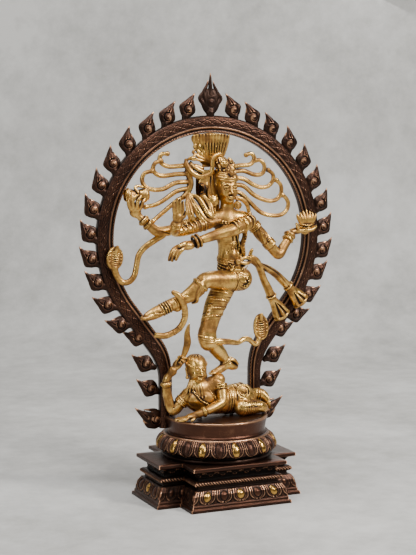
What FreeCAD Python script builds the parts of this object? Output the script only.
"""Brass nataraja statue: a dancing four-armed figure on a prone dwarf, ringed by a flaming arch,
on a drum, a lotus collar and a stepped plinth.  Millimetres, +Z up, the front faces -Y.
The origin is on the surface that the plinth stands on, under the middle of the plinth."""

import FreeCAD, Part
import Sketcher
import math
import os
import re
from FreeCAD import Placement, Rotation, Vector

doc = FreeCAD.newDocument("nataraja")

# ---------------------------------------------------------------- driving dimensions

SIZES = {
    # plinth: the plan is a cross of a wide wing block and a deep centre block
    "wing_wide": 214, "wing_deep": 89, "block_wide": 144, "block_deep": 170,
    "plinth_top": 61.1, "plinth_roof": 6, "cavity_inset": 19.5, "roof_bore": 50,
    # lotus collar and drum, both turned and hollow
    "lotus_foot": 79, "lotus_belly": 87.5, "lotus_lip": 75.5, "lotus_bore": 62, "lotus_top": 95,
    "drum_base": 70.5, "drum_rim": 74, "drum_top": 118.5, "drum_wall": 4.5, "drum_roof": 6,
    # arch: a flat hoop with straight runs that bend into two posts
    "arch_centre": 374.3, "arch_outer": 174.25, "arch_inner": 149.75, "arch_turn": 128,
    "arch_depth": 12, "arch_back": 21, "band_half": 12.25, "run_foot_x": 89, "run_foot_z": 224,
    "post_x": 71, "post_half": 9, "post_bend_z": 171, "post_foot_z": 99, "post_hook_x": 70.5,
    "bend_outer": 73, "bend_inner": 97, "lug_x": 51, "lug_high": 8.5,
    # flames
    "flame_thick": 8, "flame_long": 38, "flame_wide": 25, "flame_first": 13.2, "flame_pitch": 11,
    "foot_flame_long": 50, "foot_flame_wide": 30, "crest_long": 61.65, "crest_wide": 34,
    # fasteners: one long tie rod, and studs for the arch and the dwarf
    "rod_radius": 4, "rod_top": 110, "rod_foot": 36, "boss_radius": 11, "boss_deep": 9,
    "bar_long": 150, "bar_wide": 22, "bar_thick": 10, "rod_washer": 9, "rod_nut": 7.5,
    "rod_nut_high": 6.5, "stud_radius": 3, "stud_bite": 7, "stud_tail": 9, "stud_washer": 6.5,
    "stud_nut": 5.8, "stud_nut_high": 5, "washer_thick": 1.6, "arch_stud_x": 58.5,
    "dwarf_stud_gap": 25, "dwarf_stud_x": -5, "dwarf_stud_y": -9, "dwarf_pad": 8,
    # limbs and ornaments
    "upper_arm": 9.5, "elbow": 8.3, "wrist": 5.7, "finger": 4.2, "thigh": 15.5, "knee": 12,
    "calf": 11.3, "ankle": 7.2, "sole": 5.5, "neck": 8.5, "strand": 2.7, "bangle": 2.2,
    "snake": 4.4, "scarf": 4.2, "sash": 6,
}

# Courses of the plinth from the floor up: height of the top, outset at the foot and at the head.
COURSES = [
    (5, 5.5, 5), (9, 2.5, 2), (29, 1.5, -5.5), (33.5, -9.5, -9.5), (37.5, -7, -4),
    (41.5, -4, -7), (44, -12, -12), (50, -12.5, -9.5), (55.5, -9.5, -2.5), (61.1, 0, 0),
]

# Landmarks of the two figures, each one point (x, y, z).
LANDMARKS = {
    "hip": (18, -10, 336), "waist": (15, -10, 360), "chest": (12, -11, 385),
    "collar": (11, -10, 402), "neck_top": (12, -12, 426), "head_mid": (11, -12, 447),
    "front_left_shoulder": (45, -15, 398), "front_left_elbow": (12, -36, 388),
    "front_left_wrist": (-41, -38, 376), "front_left_palm": (-66, -39, 366),
    "front_left_tip": (-90, -40, 352),
    "rear_left_shoulder": (51, -5, 397), "rear_left_elbow": (95, -8, 348),
    "rear_left_wrist": (121, -2, 379), "rear_left_palm": (157, 6, 380),
    "rear_right_shoulder": (-26, -3, 397), "rear_right_elbow": (-93, -5, 387),
    "rear_right_wrist": (-116, -2, 405), "rear_right_palm": (-127, 0, 414),
    "rear_right_tip": (-126, 1, 434),
    "front_right_shoulder": (-24, -20, 396), "front_right_elbow": (-74, -22, 389),
    "front_right_wrist": (-77, -38, 398), "front_right_palm": (-77, -41, 410),
    "front_right_tip": (-78, -43, 431),
    "raised_hip": (35, -11, 314), "raised_thigh": (8, -20, 315), "raised_knee": (-33, -30, 316),
    "raised_calf": (-51, -28, 299), "raised_ankle": (-68, -26, 290), "raised_ball": (-104, -23, 274),
    "raised_toe": (-121, -22, 268),
    "standing_hip": (6, -12, 300), "standing_thigh": (-9, -13, 278), "standing_knee": (-21, -18, 240),
    "standing_calf": (-4, -15, 214), "standing_ankle": (11, -12, 195), "standing_heel": (25, -10, 188),
    "standing_ball": (-4, -16, 184), "standing_toe": (-17, -18, 182),
    "dwarf_chest": (-33, -10, 143), "dwarf_waist": (2, -9, 139), "dwarf_hip": (37, -7, 141),
    "dwarf_neck": (-36, -13, 170), "dwarf_head": (-37, -15, 190),
    "raised_shoulder": (-50, -9, 150), "raised_elbow": (-68, -3, 126.5), "raised_wrist": (-79, -2, 172),
    "raised_fist": (-59, -7, 197),
    "rest_shoulder": (-3, -20, 170), "rest_elbow": (-7, -32, 144), "rest_wrist": (-42, -42, 131),
    "rest_palm": (-58, -36, 124.5), "rest_tip": (-71, -22, 122.5),
    "near_knee": (28, -28, 129.5), "near_shin": (62, -24, 128), "far_hip": (50, -2, 144),
    "far_knee": (70, -4, 144), "far_ankle": (81, -12, 128), "far_toe": (88, -20, 119),
}

# Locks of hair, from the head outwards; they lie in one plane behind the face.
HAIR_DEPTH = 3
LOCKS_RIGHT = [
    [(16, 468), (31, 477), (53, 478), (61, 487), (57, 494), (47, 492)],
    [(18, 464), (41, 470), (65, 463), (75, 466), (77, 479), (66, 485)],
    [(18, 455), (45, 458), (71, 446), (84, 446), (92, 458), (83, 469)],
    [(18, 446), (45, 448), (65, 433), (88, 425), (103, 434), (103, 448), (97, 454)],
    [(18, 438), (43, 436), (63, 417), (87, 404), (107, 406), (117, 421), (108, 432)],
    [(-2, 424), (34, 427), (48, 420), (55, 407)],
]
LOCKS_LEFT = [
    [(-44, 479), (-72, 477), (-85, 485), (-80, 495), (-72, 494)],
    [(-44, 468), (-80, 464), (-94, 468), (-96, 480), (-86, 484)],
    [(-40, 455), (-62, 455), (-92, 445), (-108, 451), (-110, 465), (-99, 470)],
    [(-40, 444), (-62, 443), (-92, 426), (-108, 421)],
    [(-46, 436), (-64, 426), (-97, 402)],
    [(-20, 476), (-44, 474), (-40, 455), (-50, 434), (-22, 428)],
]

sheet = doc.addObject("Spreadsheet::Sheet", "Sizes")
cells = dict(SIZES)
for number, course in enumerate(COURSES, 1):
    for part, value in zip(("head_z", "foot_out", "head_out"), course):
        cells["course%d_%s" % (number, part)] = value
for name, point in LANDMARKS.items():
    for axis, value in zip("xyz", point):
        cells["%s_%s" % (name, axis)] = value
for row, (alias, value) in enumerate(cells.items(), 1):
    sheet.set("A%d" % row, str(value))
    sheet.setAlias("A%d" % row, alias)
doc.recompute()


def size(text):
    """The number that an expression on the sheet comes to."""
    return float(sheet.evalExpression(text))


def landmark(name, dx=0.0, dy=0.0, dz=0.0):
    """A landmark read from the sheet, moved by (dx, dy, dz)."""
    return Vector(size(name + "_x") + dx, size(name + "_y") + dy, size(name + "_z") + dz)


def linked(text):
    """The same expression, as another object of the document has to write it."""
    return re.sub(r"[a-z]\w+", lambda word: ("Sizes." if word[0] in cells else "") + word[0], text)


def bind(thing, **sizes):
    """Bind properties of a document object to expressions on the sheet."""
    for prop, text in sizes.items():
        thing.setExpression(prop.replace("__", "."), linked(str(text)))
    return thing


nodes = []


def keep(thing, label):
    """Name a finished sub-part and put it on the list of nodes."""
    thing.Label = label
    nodes.append(thing)
    return thing


# ---------------------------------------------------------------- document builders

def sketch_on(body, role, name):
    sketch = body.newObject("Sketcher::SketchObject", name)
    plane = [feature for feature in body.Origin.OriginFeatures if feature.Role == role][0]
    sketch.AttachmentSupport = [(plane, "")]
    sketch.MapMode = "FlatFace"
    return sketch


def pin(sketch, edge, vertex, across, along):
    """Fix a vertex of a sketch at two distances from the origin, both bound to the sheet."""
    for kind, axis, text in (("DistanceX", -2, across), ("DistanceY", -1, along)):
        value = size(text)
        if abs(value) < 1e-9:
            sketch.addConstraint(Sketcher.Constraint("PointOnObject", edge, vertex, axis))
            continue
        ends = (-1, 1, edge, vertex) if value > 0 else (edge, vertex, -1, 1)
        index = sketch.addConstraint(Sketcher.Constraint(kind, *ends, abs(value)))
        sketch.setExpression("Constraints[%d]" % index, linked("abs(%s)" % text))


def bow(start, end, radius, turn, long_way):
    """An arc between two points, its centre to the left (turn 1) or to the right (turn -1)."""
    chord = end - start
    reach = math.sqrt(radius ** 2 - chord.Length ** 2 / 4)
    aside = Vector(-chord.y, chord.x, 0).normalize() * reach * turn * (-1 if long_way else 1)
    centre = start + chord * 0.5 + aside
    first, last = [math.atan2(point.y - centre.y, point.x - centre.x)
                   for point in ((start, end) if turn > 0 else (end, start))]
    if last < first:
        last += 2 * math.pi
    return Part.ArcOfCircle(Part.Circle(centre, Vector(0, 0, 1), radius), first, last)


def outline(sketch, corners):
    """A closed outline.  A corner is (across, along) where a straight edge starts, and
    (across, along, radius, turn, long_way) where an arc starts."""
    points = [Vector(size(corner[0]), size(corner[1]), 0) for corner in corners]
    ends = []
    for edge, (corner, start, end) in enumerate(zip(corners, points, points[1:] + points[:1])):
        if len(corner) == 2:
            sketch.addGeometry(Part.LineSegment(start, end))
            ends.append((1, 2))
            continue
        radius, turn, long_way = corner[2:]
        sketch.addGeometry(bow(start, end, size(radius), turn, long_way))
        ends.append((1, 2) if turn > 0 else (2, 1))
        index = sketch.addConstraint(Sketcher.Constraint("Radius", edge, size(radius)))
        sketch.setExpression("Constraints[%d]" % index, linked(radius))
    for edge, (first, last) in enumerate(ends):
        following = (edge + 1) % len(ends)
        sketch.addConstraint(Sketcher.Constraint("Coincident", edge, last, following, ends[following][0]))
        pin(sketch, edge, first, corners[edge][0], corners[edge][1])


def turned(name, profile):
    """A body turned about +Z from a closed profile of (radius, height) expressions."""
    body = doc.addObject("PartDesign::Body", name)
    sketch = sketch_on(body, "XZ_Plane", name + "_profile")
    outline(sketch, profile)
    turn = body.newObject("PartDesign::Revolution", name + "_turn")
    turn.Profile = sketch
    turn.ReferenceAxis = (sketch, ["V_Axis"])
    turn.Angle = 360
    return body


def rod(name, radius, foot, head, x="0", y="0"):
    """An upright cylinder between two heights."""
    thing = doc.addObject("Part::Cylinder", name)
    return bind(thing, Radius=radius, Height="%s - (%s)" % (head, foot),
                Placement__Base__x=x, Placement__Base__y=y, Placement__Base__z=foot)


def hexagon(name, radius, foot, head, x="0", y="0"):
    thing = doc.addObject("Part::Prism", name)
    thing.Polygon = 6
    return bind(thing, Circumradius=radius, Height="%s - (%s)" % (head, foot),
                Placement__Base__x=x, Placement__Base__y=y, Placement__Base__z=foot)


def block(name, wide, deep, foot, head, x="0", y="0"):
    """A box centred on (x, y) between two heights."""
    thing = doc.addObject("Part::Box", name)
    return bind(thing, Length=wide, Width=deep, Height="%s - (%s)" % (head, foot),
                Placement__Base__x="%s - (%s) / 2" % (x, wide),
                Placement__Base__y="%s - (%s) / 2" % (y, deep), Placement__Base__z=foot)


def joined(name, things):
    fuse = doc.addObject("Part::MultiFuse", name)
    fuse.Shapes = things
    return fuse


def without(name, base, tool):
    cut = doc.addObject("Part::Cut", name)
    cut.Base = base
    cut.Tool = tool
    return cut


def group(name, things):
    """Like pieces that share one node, each a solid of its own."""
    bundle = doc.addObject("Part::Compound", name)
    bundle.Links = things
    return bundle


# ---------------------------------------------------------------- plinth

def frustum(name, wide, deep, course):
    """One course of a rectangular block: a wedge laid on its side so that it tapers upwards."""
    foot = "course%d_head_z" % (course - 1) if course > 1 else "0"
    thing = doc.addObject("Part::Wedge", name)
    thing.Placement = Placement(Vector(), Rotation(Vector(1, 0, 0), 90))
    low, high = "course%d_foot_out" % course, "course%d_head_out" % course
    return bind(
        thing, Placement__Base__z=foot, Ymin="0", Ymax="course%d_head_z - %s" % (course, foot),
        Xmin="-%s / 2 - %s" % (wide, low), Xmax="%s / 2 + %s" % (wide, low),
        Zmin="-%s / 2 - %s" % (deep, low), Zmax="%s / 2 + %s" % (deep, low),
        X2min="-%s / 2 - %s" % (wide, high), X2max="%s / 2 + %s" % (wide, high),
        Z2min="-%s / 2 - %s" % (deep, high), Z2max="%s / 2 + %s" % (deep, high))


def make_plinth():
    """A hollow stepped casting, open underneath, with a round hole through its roof."""
    courses = []
    for course in range(1, len(COURSES) + 1):
        courses.append(frustum("wing_course%d" % course, "wing_wide", "wing_deep", course))
        courses.append(frustum("block_course%d" % course, "block_wide", "block_deep", course))
    roof = "plinth_top - plinth_roof"
    hollow = joined("plinth_hollow", [
        block("wing_cavity", "wing_wide - 2 * cavity_inset", "wing_deep - 2 * cavity_inset", "0", roof),
        block("block_cavity", "block_wide - 2 * cavity_inset", "block_deep - 2 * cavity_inset",
              "0", roof),
        rod("roof_hole", "roof_bore", "0", "plinth_top"),
    ])
    keep(without("plinth", joined("plinth_courses", courses), hollow), "plinth")


# ---------------------------------------------------------------- lotus collar and drum

def make_lotus_collar():
    keep(turned("lotus_collar", [
        ("lotus_bore", "plinth_top"), ("lotus_foot", "plinth_top"), ("lotus_foot + 0.5", "66"),
        ("lotus_foot - 2", "69.5"), ("lotus_belly - 1.5", "72"), ("lotus_belly", "75.5"),
        ("lotus_belly - 2", "80.5"), ("lotus_belly - 5.5", "85.5"), ("lotus_lip + 3", "89.5"),
        ("lotus_lip", "92"), ("lotus_lip", "lotus_top"), ("lotus_bore", "lotus_top"),
    ]), "lotus_collar")


def make_drum():
    """A turned cup standing mouth down, with a threaded boss under the middle of its roof."""
    roof = "drum_top - drum_roof"
    cup = turned("drum_cup", [
        ("0", "drum_top"), ("drum_rim", "drum_top"), ("drum_rim - 0.4", "drum_top - 3"),
        ("drum_rim - 1.4", "drum_top - 7"), ("drum_base", "lotus_top"),
        ("drum_base - drum_wall", "lotus_top"), ("drum_rim - drum_wall", roof),
        ("boss_radius", roof), ("boss_radius", roof + " - boss_deep"), ("0", roof + " - boss_deep"),
    ])
    holes = [rod("rod_hole", "rod_radius", roof + " - boss_deep", "rod_top")]
    for name, x, y in arch_stud_places() + dwarf_stud_places():
        holes.append(rod(name + "_hole", "stud_radius", roof, "drum_top", x, y))
    return keep(without("drum", cup, joined("drum_holes", holes)), "pedestal_drum")


def arch_stud_places():
    return [("arch_stud_left", "-arch_stud_x", "arch_back"), ("arch_stud_right", "arch_stud_x", "arch_back")]


def dwarf_stud_places():
    return [("dwarf_stud_%s" % side, "dwarf_stud_x %s dwarf_stud_gap" % sign, "dwarf_stud_y")
            for side, sign in (("left", "-"), ("right", "+"))]


# ---------------------------------------------------------------- fasteners

def washer(name, radius, bore, foot, head, x="0", y="0"):
    return without(name, rod(name + "_disc", radius, foot, head, x, y),
                   rod(name + "_bore", bore, foot, head, x, y))


def nut(name, radius, bore, foot, head, x="0", y="0"):
    return without(name, hexagon(name + "_hex", radius, foot, head, x, y),
                   rod(name + "_bore", bore, foot, head, x, y))


def make_fasteners():
    """The tie rod that clamps drum, collar and plinth, and the studs of the arch and the dwarf."""
    roof = "plinth_top - plinth_roof"
    under_bar = roof + " - bar_thick"
    keep(rod("tie_rod", "rod_radius", "rod_foot", "rod_top"), "tie_rod")
    bar = block("bar_blank", "bar_long", "bar_wide", under_bar, roof)
    keep(without("bridge_bar", bar, rod("bar_hole", "rod_radius", under_bar, roof)), "bridge_bar")
    keep(washer("tie_washer", "rod_washer", "rod_radius", under_bar + " - washer_thick", under_bar),
         "tie_washer")
    keep(nut("tie_nut", "rod_nut", "rod_radius", under_bar + " - washer_thick - rod_nut_high",
             under_bar + " - washer_thick"), "tie_nut")
    roof = "drum_top - drum_roof"
    for owner, places in (("arch", arch_stud_places()), ("dwarf", dwarf_stud_places())):
        studs, washers, nuts = [], [], []
        for name, x, y in places:
            studs.append(rod(name, "stud_radius", roof + " - stud_tail", "drum_top + stud_bite", x, y))
            washers.append(washer(name + "_washer", "stud_washer", "stud_radius",
                                  roof + " - washer_thick", roof, x, y))
            nuts.append(nut(name + "_nut", "stud_nut", "stud_radius",
                            roof + " - washer_thick - stud_nut_high", roof + " - washer_thick", x, y))
        keep(group(owner + "_stud_group", studs), owner + "_studs")
        keep(group(owner + "_washer_group", washers), owner + "_washers")
        keep(group(owner + "_nut_group", nuts), owner + "_nuts")


# ---------------------------------------------------------------- arch

def make_arch(drum):
    """One flat casting: the hoop, two straight runs that follow its ends, and two bent posts that
    stand on the drum and hook over its rim."""
    right = [
        ("arch_outer * sin(arch_turn)", "arch_centre + arch_outer * cos(arch_turn)"),
        ("run_foot_x - band_half * cos(arch_turn + 90)", "run_foot_z + band_half * cos(arch_turn)",
         "bend_outer", 1, False),
        ("post_x + post_half", "post_bend_z"),
        ("post_x + post_half", "post_foot_z"),
        ("post_hook_x", "post_foot_z"),
        ("post_hook_x", "drum_top"),
        ("lug_x", "drum_top"),
        ("lug_x", "drum_top + lug_high"),
        ("post_x - post_half", "drum_top + lug_high"),
        ("post_x - post_half", "post_bend_z", "bend_inner", -1, False),
        ("run_foot_x + band_half * cos(arch_turn + 90)", "run_foot_z - band_half * cos(arch_turn)"),
        ("arch_inner * sin(arch_turn)", "arch_centre + arch_inner * cos(arch_turn)",
         "arch_inner", 1, True),
    ]
    left = [("-(%s)" % corner[0], corner[1]) for corner in reversed(right)]
    left[1] = left[1] + ("bend_inner", -1, False)
    left[9] = left[9] + ("bend_outer", 1, False)
    left[11] = left[11] + ("arch_outer", -1, True)
    body = doc.addObject("PartDesign::Body", "arch_band")
    sketch = sketch_on(body, "XZ_Plane", "arch_outline")
    outline(sketch, right + left)
    pad = body.newObject("PartDesign::Pad", "arch_pad")
    pad.Profile = sketch
    pad.SideType = "Symmetric"
    bind(pad, Length="arch_depth")
    bind(body, Placement__Base__y="arch_back")
    holes = [rod(name + "_seat", "stud_radius", "drum_top", "drum_top + stud_bite", x, y)
             for name, x, y in arch_stud_places()]
    return keep(without("arch", body, joined("arch_tools", [drum] + holes)), "arch_ring")


# ---------------------------------------------------------------- flames

# Directions of the flames' tips from straight up, towards the outside, from the crest down.
TIP_ANGLES = [-17, -19, -13, 4, 15, 24, 36, 44, 54, 59, 72, 84, 78, 66, 66]
POST_FLAMES = [(89, 190), (82, 154)]      # where the flames on the posts spring from
FOOT_FLAME = (74, 108, 62)                # the large flame beside the drum: x, z and tip angle


def flame(x, z, degrees, long, wide, curl, side):
    """A flat flame: a round heart on a short stem, drawn out to a tip that curls to one side.
    Side -1 makes the mirror image, for the left of the arch."""
    thick = size("flame_thick")
    across, up = side * wide / 25.0, long / 38.0
    left = [(-3.6, -2), (-6, 2), (-12, 9.5), (-11.6, 18), (-6, 27), (0.5 + curl, 38)]
    right = [(0.5 + curl, 38), (5, 29), (11.5, 19), (12.5, 10), (6.2, 2), (3.6, -2)]
    curves = []
    for edge in (left, right):
        spline = Part.BSplineCurve()
        spline.interpolate([Vector(u * across, 0, v * up) for u, v in edge])
        curves.append(spline.toShape())
    base = Part.LineSegment(Vector(3.6 * across, 0, -2 * up), Vector(-3.6 * across, 0, -2 * up))
    shape = Part.Face(Part.Wire(curves + [base.toShape()])).extrude(Vector(0, thick, 0))
    shape.translate(Vector(0, size("arch_back") - thick / 2, 0))
    shape.rotate(Vector(), Vector(0, 1, 0), side * degrees)
    shape.translate(Vector(side * x, 0, z))
    return shape


def make_flames(arch, drum):
    """Sixteen flames up each side of the arch and one on its crest, all seated on its edge."""
    outer, centre = size("arch_outer"), size("arch_centre")
    roots = []
    for number in range(len(TIP_ANGLES) - len(POST_FLAMES)):
        angle = math.radians(size("flame_first + %d * flame_pitch" % number))
        roots.append((outer * math.sin(angle), centre + outer * math.cos(angle)))
    for side, label in ((-1, "arch_flames_left"), (1, "arch_flames_right")):
        flames = []
        for (x, z), tip in zip(roots + POST_FLAMES, TIP_ANGLES):
            flames.append(flame(x, z, tip, size("flame_long"), size("flame_wide"), -2, side))
        x, z, tip = FOOT_FLAME
        flames.append(flame(x, z, tip, size("foot_flame_long"), size("foot_flame_wide"), -3, side))
        seated = [largest(shape.cut([arch.Shape, drum.Shape])) for shape in flames]
        keep(solids(label, Part.Compound(apart(seated))), label)
    crest = flame(0, outer + centre - 0.2, 0, size("crest_long"), size("crest_wide"), -0.5, 1)
    keep(solids("crest_flame", crest.cut(arch.Shape)), "crest_flame")


def touching(shape, others):
    """The shapes among the others whose boxes overlap that of the shape."""
    return [other for other in others if other.BoundBox.intersect(shape.BoundBox)]


def apart(shapes):
    """Trim each shape by the ones before it, so that neighbours meet face to face."""
    trimmed = []
    for shape in shapes:
        near = touching(shape, trimmed)
        trimmed.append(largest(shape.cut(near)) if near else shape)
    return trimmed


def largest(shape):
    return max(shape.Solids, key=lambda solid: solid.Volume)


def solids(name, shape):
    """A part feature that holds a ready-made shape."""
    thing = doc.addObject("Part::Feature", name)
    thing.Shape = shape
    thing.Placement = Placement()
    return thing


# ---------------------------------------------------------------- shapes of limbs

def ball(centre, radius):
    return Part.makeSphere(radius, centre)


def link(start, start_radius, end, end_radius):
    """A cone between two balls, a shade thinner than they are so that the balls round its ends."""
    along = end - start
    a, b = start_radius * 0.985, end_radius * 0.985
    if abs(a - b) < 0.02:
        return Part.makeCylinder(a, along.Length, start, along)
    return Part.makeCone(a, b, along.Length, start, along)


def chain(stations):
    """A limb: balls at its stations, given as (point, radius), and cones between them."""
    balls = [ball(point, radius) for point, radius in stations]
    links = [link(p, r, q, s) for (p, r), (q, s) in zip(stations, stations[1:])]
    return balls[0].multiFuse(balls[1:] + links).removeSplitter()


def tube(points, radius, depth=None):
    """A chain of one radius, from (x, y, z) points or from (x, z) points at one depth."""
    if depth is not None:
        points = [(x, depth, z) for x, z in points]
    return chain([(Vector(*point), radius) for point in points])


def egg(centre, rx, ry, rz, tilt=None):
    """An ellipsoid with the given half sizes."""
    shape = Part.makeSphere(1.0)
    matrix = FreeCAD.Matrix()
    matrix.scale(rx, ry, rz)
    shape = shape.transformGeometry(matrix)
    if tilt:
        shape.rotate(Vector(), tilt[0], tilt[1])
    shape.translate(centre)
    return shape


def ring(centre, axis, radius, thick):
    return Part.makeTorus(radius, thick, centre, axis)


def fitted(label, shape, neighbours):
    """Keep a sub-part cut back to its neighbours, so that the solids meet face to face."""
    near = touching(shape, [other.Shape for other in neighbours])
    if near:
        shape = shape.cut(near)
    return keep(solids(label, largest(shape)), label)


# ---------------------------------------------------------------- dwarf

def make_dwarf(drum, arch):
    pads = [Part.makeCylinder(size("dwarf_pad"), 20,
                              Vector(size(x), size(y), size("drum_top"))) for _, x, y in dwarf_stud_places()]
    trunk = chain([(landmark("dwarf_chest"), 21), (landmark("dwarf_waist"), 20.5),
                   (landmark("dwarf_hip"), 20)])
    throat = chain([(landmark("dwarf_chest", -2, -2, 10), 12), (landmark("dwarf_neck"), 8.5)])
    seats = [Part.makeCylinder(size("stud_radius"), size("stud_bite"),
                               Vector(size(x), size(y), size("drum_top"))) for _, x, y in dwarf_stud_places()]
    shape = trunk.multiFuse(pads + [throat]).cut(seats)
    body = fitted("dwarf_body", shape, [drum])
    head = fitted("dwarf_head", egg(landmark("dwarf_head"), 14.5, 15.5, 20.5), [body])
    raised = fitted("dwarf_raised_arm", chain([
        (landmark("raised_shoulder"), 10), (landmark("raised_elbow"), 8.5),
        (landmark("raised_wrist"), 6), (landmark("raised_fist"), 5.5)]), [body, drum, arch, head])
    rest = fitted("dwarf_resting_arm", chain([
        (landmark("rest_shoulder"), 9), (landmark("rest_elbow"), 8), (landmark("rest_wrist"), 6),
        (landmark("rest_palm"), 6), (landmark("rest_tip"), 4.2)]), [body, drum, raised])
    near_leg = chain([(landmark("dwarf_hip", 0, -8, -4), 13), (landmark("near_knee"), 11),
                      (landmark("near_shin"), 8)])
    far_leg = chain([(landmark("far_hip"), 12), (landmark("far_knee"), 9), (landmark("far_ankle"), 6),
                     (landmark("far_toe"), 4)])
    legs = fitted("dwarf_legs", near_leg.fuse(far_leg), [body, drum, rest, arch])
    blade = chain([(Vector(-67, -8, 174), 2.8), (Vector(-58, -8, 199), 3), (Vector(-49, -8, 220), 4.5),
                   (Vector(-50, -8, 235), 4), (Vector(-48, -8, 252), 2)])
    sword = fitted("dwarf_sword", blade, [head, raised, arch])
    return [body, head, raised, rest, legs, sword]


# ---------------------------------------------------------------- dancer

def make_dancer(arch, dwarf):
    trunk = chain([(landmark("hip"), 19), (landmark("waist"), 15.5), (landmark("chest"), 18.5),
                   (landmark("collar"), 11)])
    shoulders = chain([(Vector(40, -9, 399), 9.5), (landmark("collar", 0, 0, -3), 11),
                       (Vector(-20, -9, 398), 9.5)])
    throat = chain([(landmark("collar"), 9.5), (landmark("neck_top"), size("neck"))])
    torso = keep(solids("torso", trunk.multiFuse([shoulders, throat])), "torso")
    head = fitted("head", egg(landmark("head_mid"), 15, 16.5, 22.5), [torso])
    back_hair = fitted("back_hair", chain([(Vector(-8, 3, 422), 10), (Vector(-13, 3, 438), 11),
                                           (Vector(-6, 3, 454), 11), (Vector(3, 3, 446), 11)]),
                       [torso, head, arch])
    band = fitted("head_band", ring(landmark("head_mid", 0, 0, 14), Vector(0.1, -0.25, 1), 14.5, 2.6),
                  [head, back_hair])
    topknot = fitted("topknot", chain([(Vector(10, -10, 467), 12.5), (Vector(5, -5, 480), 12),
                                       (Vector(-1, 2, 490), 10.5)]), [head, band, back_hair])
    fan = fitted("crown_fan", crown_plate(), [arch, topknot, head, band, back_hair])
    curl = fitted("hair_curl", tube([(-46, 2, 483), (-42, 1, 472), (-32, -1, 463), (-20, -4, 460),
                                     (-10, -8, 465), (-9, -9, 478), (-8, -9, 488), (-2, -9, 494)], 3.6),
                  [back_hair, topknot, fan, head, band])
    scarf = fitted("shoulder_scarf", tube([(-45, -10, 434), (-38, -18, 420), (-31, -22, 404),
                                           (-20, -23, 397), (-6, -23, 399)], size("scarf"))
                   .fuse(tube([(-45, -10, 434), (-45, -14, 418), (-38, -16, 403)], size("scarf"))),
                   [torso, back_hair])
    earrings = []
    for centre, radius in ((Vector(-12, -15, 428), 7), (Vector(27, -14, 419), 6)):
        disc = Part.makeCylinder(radius, 5, centre, Vector(0, -1, 0.1))
        earrings.append(largest(disc.cut([torso.Shape, head.Shape, back_hair.Shape, scarf.Shape])))
    earring_node = keep(solids("earrings", Part.Compound(earrings)), "earrings")
    necklace = fitted("necklace", ring(landmark("collar", 1, -1, 7), Vector(0, -0.45, 1), 11.5, 2.4),
                      [torso, head, back_hair, earring_node])
    build = [torso, head, back_hair, band, topknot, fan, curl, scarf, earring_node, necklace]
    arms = make_arms(arch, build)
    locks = make_locks(build + arms, arch)
    legs = make_legs(arch, build, dwarf)
    make_dress(arch, torso, arms, legs, locks, dwarf)


def crown_plate():
    """The flared fan of plumes over the topknot, with a ragged lower tier on one side."""
    edge = [(-14, 482), (-30, 486), (-34, 492), (-33, 501), (-26, 509), (-33, 518), (-31, 524),
            (-6, 526), (19, 524), (20, 517), (15, 503), (12, 487)]
    points = [Vector(x, 2, z) for x, z in edge]
    face = Part.Face(Part.makePolygon(points + points[:1]))
    return face.extrude(Vector(0, size("arch_back - arch_depth / 2") - 2, 0))


def make_arms(arch, build):
    elbow, wrist, finger = size("elbow"), size("wrist"), size("finger")
    rear_right = fitted("rear_right_arm", chain([
        (landmark("rear_right_shoulder"), size("upper_arm")), (landmark("rear_right_elbow"), elbow),
        (landmark("rear_right_wrist"), wrist), (landmark("rear_right_palm"), 6.5),
        (landmark("rear_right_tip"), finger)]), build + [arch])
    front_right = fitted("front_right_arm", chain([
        (landmark("front_right_shoulder"), size("upper_arm")), (landmark("front_right_elbow"), 8),
        (landmark("front_right_wrist"), wrist), (landmark("front_right_palm"), 7),
        (landmark("front_right_tip"), 5)]), build + [rear_right])
    rear_left = fitted("rear_left_arm", chain([
        (landmark("rear_left_shoulder"), size("upper_arm")), (landmark("rear_left_elbow"), elbow),
        (landmark("rear_left_wrist"), wrist), (landmark("rear_left_palm"), 4.5)]), build + [arch])
    front_left = fitted("front_left_arm", chain([
        (landmark("front_left_shoulder"), 10.5), (landmark("front_left_elbow"), 9),
        (landmark("front_left_wrist"), wrist), (landmark("front_left_palm"), 7.5),
        (landmark("front_left_tip"), 5)]), build + [rear_left, front_right])
    arms = [rear_right, front_right, rear_left, front_left]
    fitted("hand_flame", egg(Vector(147, 6, 392), 14, 8, 13), [rear_left, arch])
    waist, end = 4.5, 8.5
    drum = Part.makeCone(end, waist, 11, Vector(-133, 0, 438), Vector(1, 0, 0)).fuse(
        Part.makeCone(waist, end, 11, Vector(-122, 0, 438), Vector(1, 0, 0)))
    damaru = fitted("damaru", drum, [rear_right, arch])
    snake = tube([(-88, -4, 379), (-101, -1, 370), (-113, 2, 360), (-119, 4, 347), (-122, 4, 327),
                  (-130, 5, 316), (-139, 6, 315), (-147, 7, 325), (-153, 9, 340)], size("snake"))
    hood = egg(Vector(-152, 9, 350), 12, 5.5, 16, (Vector(0, 1, 0), 8))
    cobra = fitted("arm_cobra", snake.fuse(hood), [rear_right, arch])
    bangles = []
    for first, second, share, radius in bangle_places():
        start, end_point = landmark(first), landmark(second)
        centre = start + (end_point - start) * share
        hoop = ring(centre, end_point - start, radius, size("bangle"))
        bangles.append(largest(hoop.cut([arm.Shape for arm in arms] + [build[0].Shape])))
    keep(solids("bangles", Part.Compound(apart(bangles))), "bangles")
    return arms + [damaru, cobra]


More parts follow.
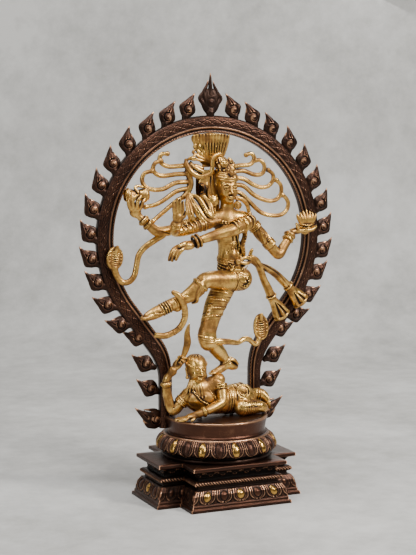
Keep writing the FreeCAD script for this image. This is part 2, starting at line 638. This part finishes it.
def bangle_places():
    """Limb, place along it and radius of each bangle and armlet."""
    places = [("front_left_shoulder", "front_left_elbow", 0.25 + 0.15 * i, 10.3 - 0.3 * i) for i in range(5)]
    places += [("front_left_elbow", "front_left_wrist", share, 7.8) for share in (0.9, 1.0)]
    places += [("rear_left_elbow", "rear_left_wrist", 0.93, 7.2),
               ("rear_right_elbow", "rear_right_wrist", 0.95, 7.2),
               ("front_right_elbow", "front_right_wrist", 0.9, 7.2)]
    return places


def make_locks(build, arch):
    """The fanned locks of hair, each its own solid, every tip curling up to the lock above."""
    kept = []
    for label, locks in (("hair_left", LOCKS_LEFT), ("hair_right", LOCKS_RIGHT)):
        shapes = []
        for points in locks:
            lock = tube(points, size("strand"), HAIR_DEPTH)
            near = touching(lock, [other.Shape for other in build])
            shapes.append(largest(lock.cut(near)) if near else lock)
        kept.append(keep(solids(label, Part.Compound(apart(shapes))), label))
    return kept


def make_legs(arch, build, dwarf):
    raised = fitted("raised_leg", chain([
        (landmark("raised_hip"), 18), (landmark("raised_thigh"), size("thigh")),
        (landmark("raised_knee"), size("knee")), (landmark("raised_calf"), size("calf")),
        (landmark("raised_ankle"), size("ankle")), (landmark("raised_ball"), 7),
        (landmark("raised_toe"), 4.5)]), build)
    leg = chain([(landmark("standing_hip"), 17), (landmark("standing_thigh"), size("thigh")),
                 (landmark("standing_knee"), 13.5), (landmark("standing_calf"), size("calf")),
                 (landmark("standing_ankle"), size("ankle"))])
    foot = chain([(landmark("standing_heel"), 6), (landmark("standing_ball"), size("sole")),
                  (landmark("standing_toe"), 4)])
    ankle = chain([(landmark("standing_ankle"), size("ankle")), (landmark("standing_heel"), 6)])
    standing = fitted("standing_leg", leg.multiFuse([foot, ankle]), build + [raised] + dwarf)
    return [raised, standing]


def make_dress(arch, torso, arms, legs, locks, dwarf):
    """The belt, the two sash tails, the ankle scarf and the cobra at the knee."""
    belt = ring(landmark("hip", 0, 0, 8), Vector(0.12, -0.2, 1), 18.5, 3)
    knot = tube([(30, -24, 346), (43, -23, 346), (43, -24, 353), (47, -24, 358), (53, -24, 359)], 3)
    belt_node = fitted("waist_belt", belt.fuse(knot), [torso] + arms + legs)
    tails = []
    for points, end in (
            ([(56, -17, 341), (73, -4, 313), (90, 5, 287), (103, 7, 266), (119, 8, 259)], 1),
            ([(58, -14, 338), (83, -4, 325), (107, 4, 310), (126, 7, 291), (142, 8, 287)], 2)):
        tail = tube(points, size("sash"))
        near = [torso.Shape, belt_node.Shape, arch.Shape, legs[0].Shape]
        tails.append(largest(tail.cut(near)))
    keep(solids("sash_tails", Part.Compound(apart(tails))), "sash_tails")
    fitted("ankle_scarf", tube([(-79, -32, 302), (-74, -34, 298), (-67, -34, 288), (-63, -32, 276),
                                (-64, -30, 262), (-71, -28, 249), (-80, -26, 243), (-92, -25, 240),
                                (-100, -24, 243)], size("scarf")), legs + arms)
    body = tube([(-15, -28, 229), (0, -24, 227), (25, -14, 222), (43, -8, 224), (55, -4, 220),
                 (61, -2, 214), (67, 1, 222)], 3.8)
    hood = egg(Vector(73, 2, 243), 12, 5, 20)
    fitted("knee_cobra", body.fuse(hood), legs + [arch])


# ---------------------------------------------------------------- assembly

def check_and_export():
    doc.recompute()
    broken = [thing.Name for thing in doc.Objects
              if "Invalid" in thing.State or "Error" in thing.State]
    if broken:
        raise SystemExit("failed objects: %s" % broken)
    for node in nodes:
        if node.Shape.isNull() or not node.Shape.isValid() or not node.Shape.Solids:
            raise SystemExit("bad shape: %s" % node.Label)
    os.makedirs("parts", exist_ok=True)
    for node in nodes:
        node.Shape.exportStep("parts/%s.step" % node.Label)
        box = node.Shape.BoundBox
        print("%-18s %2d solid(s) %9.0f mm3  x %6.1f..%6.1f y %6.1f..%6.1f z %6.1f..%6.1f" % (
            node.Label, len(node.Shape.Solids), node.Shape.Volume,
            box.XMin, box.XMax, box.YMin, box.YMax, box.ZMin, box.ZMax))


make_plinth()
make_lotus_collar()
pedestal_drum = make_drum()
make_fasteners()
doc.recompute()
arch_ring = make_arch(pedestal_drum)
doc.recompute()
make_flames(arch_ring, pedestal_drum)
dwarf_parts = make_dwarf(pedestal_drum, arch_ring)
make_dancer(arch_ring, dwarf_parts)
check_and_export()
